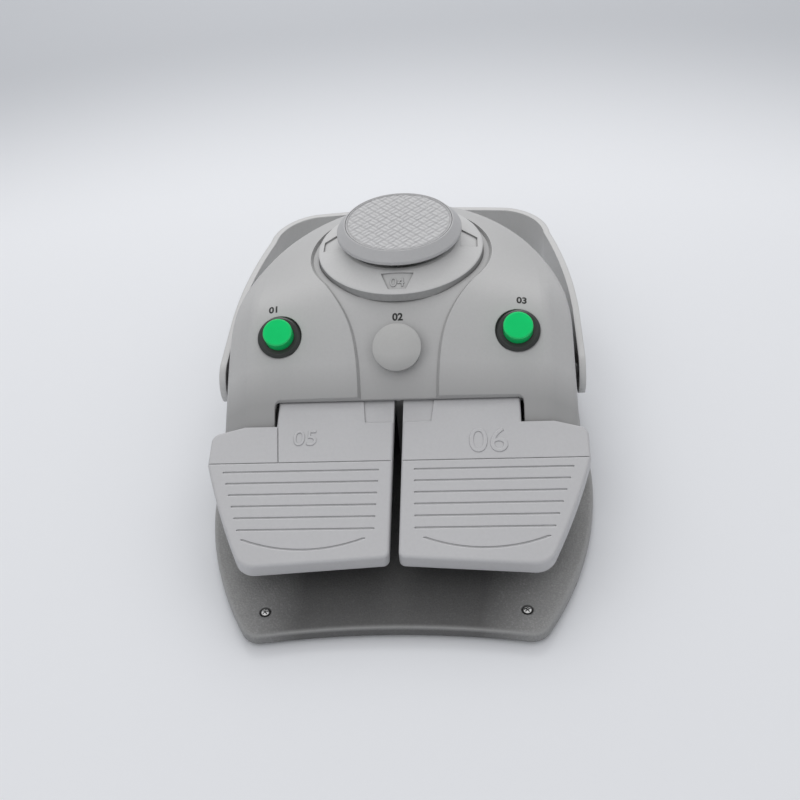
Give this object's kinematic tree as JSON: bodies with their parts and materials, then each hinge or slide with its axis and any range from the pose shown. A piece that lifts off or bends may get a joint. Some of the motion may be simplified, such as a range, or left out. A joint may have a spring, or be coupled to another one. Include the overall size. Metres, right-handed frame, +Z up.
{
  "type": "dental foot switch",
  "caption": "Grey floor pedal unit: hinged treadles, a large press disc, push buttons and a knob on a crowned horseshoe housing with a swing carrying handle.",
  "frame": {"origin": "on the floor, under the middle of the whole object's bounding box", "axes": "+X to the right as seen from the treadles, +Y from the treadles to the rear and the cable inlet, +Z up from the floor"},
  "size_m": [0.215, 0.325, 0.1154],
  "materials": {
    "shell_plastic": "light warm grey, fine grain",
    "pedal_plastic": "light grey, fine grain",
    "base_plastic": "grey, leather grain",
    "green_plastic": "glossy green",
    "black_plastic": "glossy black",
    "switch_plastic": "black",
    "bright_steel": "bright",
    "spring_steel": "drawn wire",
    "plate_steel": "grey paint",
    "rubber": "matt",
    "board_laminate": "lacquered",
    "terminal_plastic": "plain"
  },
  "bodies": {
    "frame": {"base_plate": "base_plastic", "bottom_plate": "plate_steel", "rubber_feet": "rubber", "housing": "shell_plastic", "housing_screws": "bright_steel", "front_screws": "bright_steel", "inlet_grommet": "rubber", "skirt_ring": "shell_plastic", "skirt_screws": "bright_steel", "disc_bush": "switch_plastic", "disc_nut": "switch_plastic", "disc_spring": "spring_steel", "disc_switch": "switch_plastic", "hinge_shaft": "bright_steel", "shaft_clips": "spring_steel", "pedal_bumpers": "rubber", "left_pedal_spring": "spring_steel", "right_pedal_spring": "spring_steel", "left_pedal_switch": "switch_plastic", "right_pedal_switch": "switch_plastic", "left_button_body": "black_plastic", "right_button_body": "black_plastic", "left_button_nut": "switch_plastic", "right_button_nut": "switch_plastic", "left_button_spring": "spring_steel", "right_button_spring": "spring_steel", "knob_bush": "switch_plastic", "knob_nut": "switch_plastic", "knob_spring": "spring_steel", "knob_switch": "switch_plastic", "handle_pivots": "bright_steel", "handle_washers": "switch_plastic", "terminal_board": "board_laminate", "terminal_block": "terminal_plastic", "board_screws": "bright_steel"},
    "left_pedal": {"left_pedal": "pedal_plastic"},
    "right_pedal": {"right_pedal": "pedal_plastic"},
    "press_disc": {"disc_pedal": "shell_plastic", "disc_tread": "shell_plastic", "disc_stem": "bright_steel", "disc_clip": "spring_steel"},
    "knob": {"middle_knob": "shell_plastic", "knob_stem": "bright_steel", "knob_clip": "spring_steel"},
    "left_button": {"left_button_cap": "green_plastic"},
    "right_button": {"right_button_cap": "green_plastic"},
    "carrying_handle": {"handle": "shell_plastic"}
  },
  "joints": [
    {"name": "left_pedal_hinge", "type": "hinge", "parent": "frame", "child": "left_pedal", "pos_m": [0, -0.0255, 0.0465], "axis": [1, 0, 0], "range_deg": [0, 6], "stiffness_Nm_per_rad": 2, "springref_deg": -8.59, "deforming": ["left_pedal_spring"]},
    {"name": "right_pedal_hinge", "type": "hinge", "parent": "frame", "child": "right_pedal", "pos_m": [0, -0.0255, 0.0465], "axis": [1, 0, 0], "range_deg": [0, 6], "stiffness_Nm_per_rad": 2, "springref_deg": -8.59, "deforming": ["right_pedal_spring"]},
    {"name": "disc_press", "type": "slide", "parent": "frame", "child": "press_disc", "axis": [0, 0, -1], "range_m": [0, 0.004], "stiffness_N_per_m": 2000, "springref_m": -0.005, "deforming": ["disc_spring"]},
    {"name": "knob_press", "type": "slide", "parent": "frame", "child": "knob", "axis": [0, 0.6157, -0.788], "range_m": [0, 0.004], "stiffness_N_per_m": 600, "springref_m": -0.004, "deforming": ["knob_spring"]},
    {"name": "left_button_press", "type": "slide", "parent": "frame", "child": "left_button", "axis": [0, 0.515, -0.8572], "range_m": [0, 0.003], "stiffness_N_per_m": 300, "springref_m": -0.004, "deforming": ["left_button_spring"]},
    {"name": "right_button_press", "type": "slide", "parent": "frame", "child": "right_button", "axis": [0, 0.515, -0.8572], "range_m": [0, 0.003], "stiffness_N_per_m": 300, "springref_m": -0.004, "deforming": ["right_button_spring"]},
    {"name": "handle_swing", "type": "hinge", "parent": "frame", "child": "carrying_handle", "pos_m": [0, -0.0055, 0.0475], "axis": [1, 0, 0], "range_deg": [0, 100]}
  ]
}
